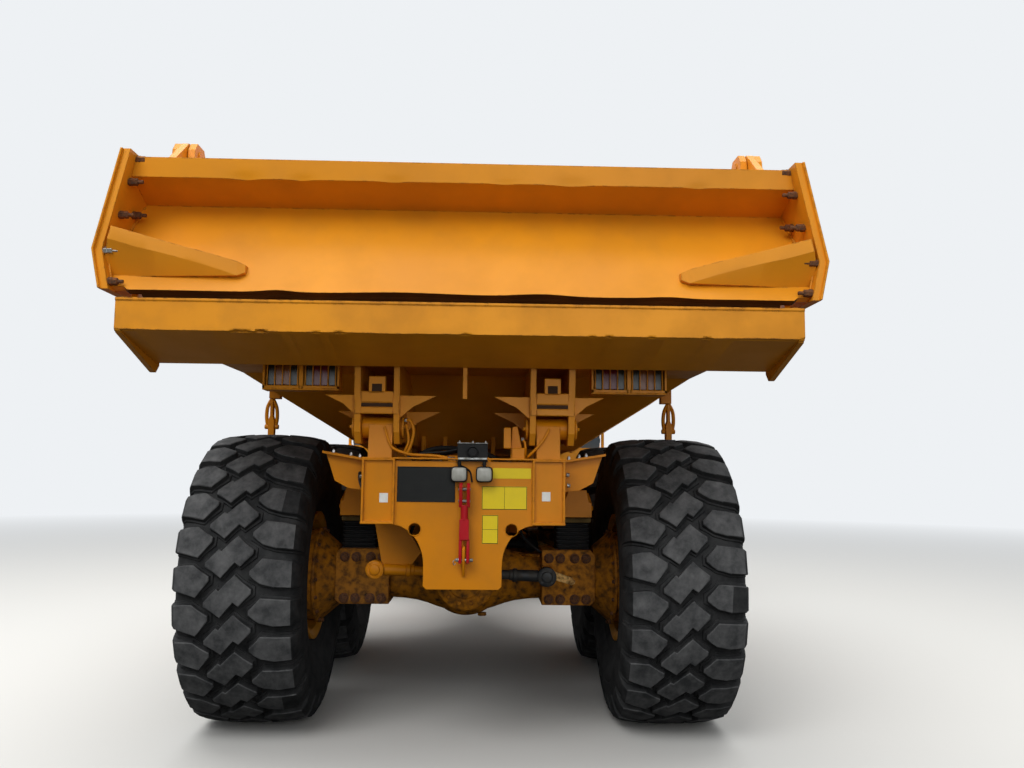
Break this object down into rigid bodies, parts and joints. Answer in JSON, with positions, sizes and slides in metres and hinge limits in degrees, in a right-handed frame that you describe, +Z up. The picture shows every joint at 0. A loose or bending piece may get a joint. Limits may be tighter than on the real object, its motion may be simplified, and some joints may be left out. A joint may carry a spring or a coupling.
{
  "type": "articulated dump truck",
  "caption": "Six-wheeled articulated dump truck, full size: tipping body with overhung tailgate, pivoting frame, hoist and steering cylinders, cab with door and tilting hood.",
  "frame": {"origin": "on the ground below the middle of the truck's overall box", "axes": "+X towards the front of the truck, +Y to its left side, +Z up"},
  "size_m": [11.18, 3.74, 3.72],
  "materials": {
    "frame_paint": "satin",
    "body_paint": "satin",
    "cab_paint": "gloss",
    "rim_paint": "satin",
    "tyre_rubber": "matt",
    "spring_rubber": "matt",
    "chrome_rod": "polished",
    "black_plastic": "matt",
    "lamp_lens": "gloss",
    "head_lens": "gloss",
    "red_steel": "gloss",
    "window_glass": "clear",
    "seat_fabric": "woven",
    "dark_steel": "satin",
    "slate_panel": "satin"
  },
  "bodies": {
    "rear_frame": {"rear_frame": "frame_paint", "bogie_beams": "frame_paint", "rubber_springs": "spring_rubber", "rear_axles": "frame_paint", "cross_rods": "frame_paint", "drive_shafts": "dark_steel", "work_lamps": "black_plastic", "number_plate": "black_plastic", "lock_link": "red_steel"},
    "dump_body": {"dump_body": "body_paint", "tail_lamps": "lamp_lens", "gate_links": "body_paint"},
    "tailgate": {"tailgate": "body_paint", "gate_arms": "body_paint"},
    "hitch": {"hitch": "frame_paint"},
    "front_frame": {"front_frame": "frame_paint", "front_axle": "frame_paint", "front_springs": "spring_rubber", "engine": "dark_steel", "bumper": "dark_steel", "head_lamps": "head_lens", "fenders": "cab_paint", "cab_shell": "cab_paint", "cab_glass": "window_glass", "cab_seat": "seat_fabric", "cab_console": "black_plastic", "steps": "dark_steel", "handrails": "cab_paint", "side_boxes": "slate_panel", "exhaust": "dark_steel", "mirrors": "black_plastic"},
    "hood": {"hood": "cab_paint", "grille": "black_plastic"},
    "cab_door": {"cab_door": "cab_paint", "door_glass": "window_glass"},
    "wheel_rl": {"tyre_rl": "tyre_rubber", "rim_rl": "rim_paint"},
    "wheel_rr": {"tyre_rr": "tyre_rubber", "rim_rr": "rim_paint"},
    "wheel_ml": {"tyre_ml": "tyre_rubber", "rim_ml": "rim_paint"},
    "wheel_mr": {"tyre_mr": "tyre_rubber", "rim_mr": "rim_paint"},
    "wheel_fl": {"tyre_fl": "tyre_rubber", "rim_fl": "rim_paint"},
    "wheel_fr": {"tyre_fr": "tyre_rubber", "rim_fr": "rim_paint"},
    "hoist_barrel_l": {"hoist_barrel_l": "frame_paint"},
    "hoist_rod_l": {"hoist_rod_l": "chrome_rod"},
    "steer_barrel_l": {"steer_barrel_l": "frame_paint"},
    "steer_rod_l": {"steer_rod_l": "chrome_rod"},
    "hoist_barrel_r": {"hoist_barrel_r": "frame_paint"},
    "hoist_rod_r": {"hoist_rod_r": "chrome_rod"},
    "steer_barrel_r": {"steer_barrel_r": "frame_paint"},
    "steer_rod_r": {"steer_rod_r": "chrome_rod"}
  },
  "joints": [
    {"name": "frame_roll", "type": "hinge", "parent": "rear_frame", "child": "hitch", "pos_m": [0.855, 0, 1.05], "axis": [1, 0, 0], "range_deg": [-15, 15]},
    {"name": "articulation", "type": "hinge", "parent": "hitch", "child": "front_frame", "pos_m": [1.155, 0, 1.05], "axis": [0, 0, 1], "range_deg": [-45, 45]},
    {"name": "body_tip", "type": "hinge", "parent": "rear_frame", "child": "dump_body", "pos_m": [-4.885, 0, 1.88], "axis": [0, -1, 0], "range_deg": [0, 70]},
    {"name": "tailgate_swing", "type": "hinge", "parent": "dump_body", "child": "tailgate", "pos_m": [-4.685, 0, 3.52], "axis": [0, 1, 0], "range_deg": [0, 42]},
    {"name": "hood_tilt", "type": "hinge", "parent": "front_frame", "child": "hood", "pos_m": [5.26, 0, 1.33], "axis": [0, 1, 0], "range_deg": [0, 60]},
    {"name": "door_swing", "type": "hinge", "parent": "front_frame", "child": "cab_door", "pos_m": [2.073, 0.852, 2.7], "axis": [0, 0, 1], "range_deg": [0, 80]},
    {"name": "spin_rl", "type": "hinge", "parent": "rear_frame", "child": "wheel_rl", "pos_m": [-3.885, 1.318, 0.935], "axis": [0, 1, 0], "continuous": true},
    {"name": "spin_rr", "type": "hinge", "parent": "rear_frame", "child": "wheel_rr", "pos_m": [-3.885, -1.318, 0.935], "axis": [0, 1, 0], "continuous": true},
    {"name": "spin_ml", "type": "hinge", "parent": "rear_frame", "child": "wheel_ml", "pos_m": [-1.945, 1.318, 0.935], "axis": [0, 1, 0], "continuous": true},
    {"name": "spin_mr", "type": "hinge", "parent": "rear_frame", "child": "wheel_mr", "pos_m": [-1.945, -1.318, 0.935], "axis": [0, 1, 0], "continuous": true},
    {"name": "spin_fl", "type": "hinge", "parent": "front_frame", "child": "wheel_fl", "pos_m": [2.505, 1.318, 0.935], "axis": [0, 1, 0], "continuous": true},
    {"name": "spin_fr", "type": "hinge", "parent": "front_frame", "child": "wheel_fr", "pos_m": [2.505, -1.318, 0.935], "axis": [0, 1, 0], "continuous": true},
    {"name": "hoist_swing_l", "type": "hinge", "parent": "rear_frame", "child": "hoist_barrel_l", "pos_m": [-0.985, 0.25, 0.95], "axis": [0, 1, 0], "range_deg": [0, 22]},
    {"name": "hoist_slide_l", "type": "slide", "parent": "hoist_barrel_l", "child": "hoist_rod_l", "axis": [-0.9599, 0, 0.2803], "range_m": [0, 1.18]},
    {"name": "steer_swing_l", "type": "hinge", "parent": "front_frame", "child": "steer_barrel_l", "pos_m": [2.205, 0.46, 1.05], "axis": [0, 0, 1], "range_deg": [-4.33, 4.33]},
    {"name": "steer_slide_l", "type": "slide", "parent": "steer_barrel_l", "child": "steer_rod_l", "axis": [-0.9912, -0.1322, 0], "range_m": [-0.27, 0.27]},
    {"name": "hoist_swing_r", "type": "hinge", "parent": "rear_frame", "child": "hoist_barrel_r", "pos_m": [-0.985, -0.25, 0.95], "axis": [0, 1, 0], "range_deg": [0, 22]},
    {"name": "hoist_slide_r", "type": "slide", "parent": "hoist_barrel_r", "child": "hoist_rod_r", "axis": [-0.9599, 0, 0.2803], "range_m": [0, 1.18]},
    {"name": "steer_swing_r", "type": "hinge", "parent": "front_frame", "child": "steer_barrel_r", "pos_m": [2.205, -0.46, 1.05], "axis": [0, 0, 1], "range_deg": [-4.33, 4.33]},
    {"name": "steer_slide_r", "type": "slide", "parent": "steer_barrel_r", "child": "steer_rod_r", "axis": [-0.9912, 0.1322, 0], "range_m": [-0.27, 0.27]}
  ],
  "couplings": [
    {"joint": "tailgate_swing", "follows": "body_tip", "ratio": 0.6},
    {"joint": "hoist_swing_l", "follows": "body_tip", "ratio": 0.285},
    {"joint": "hoist_slide_l", "follows": "body_tip", "m_per_rad": 0.9529},
    {"joint": "steer_swing_l", "follows": "articulation", "ratio": -0.085},
    {"joint": "steer_slide_l", "follows": "articulation", "m_per_rad": -0.2975},
    {"joint": "hoist_swing_r", "follows": "body_tip", "ratio": 0.285},
    {"joint": "hoist_slide_r", "follows": "body_tip", "m_per_rad": 0.9529},
    {"joint": "steer_swing_r", "follows": "articulation", "ratio": -0.085},
    {"joint": "steer_slide_r", "follows": "articulation", "m_per_rad": 0.2975}
  ]
}
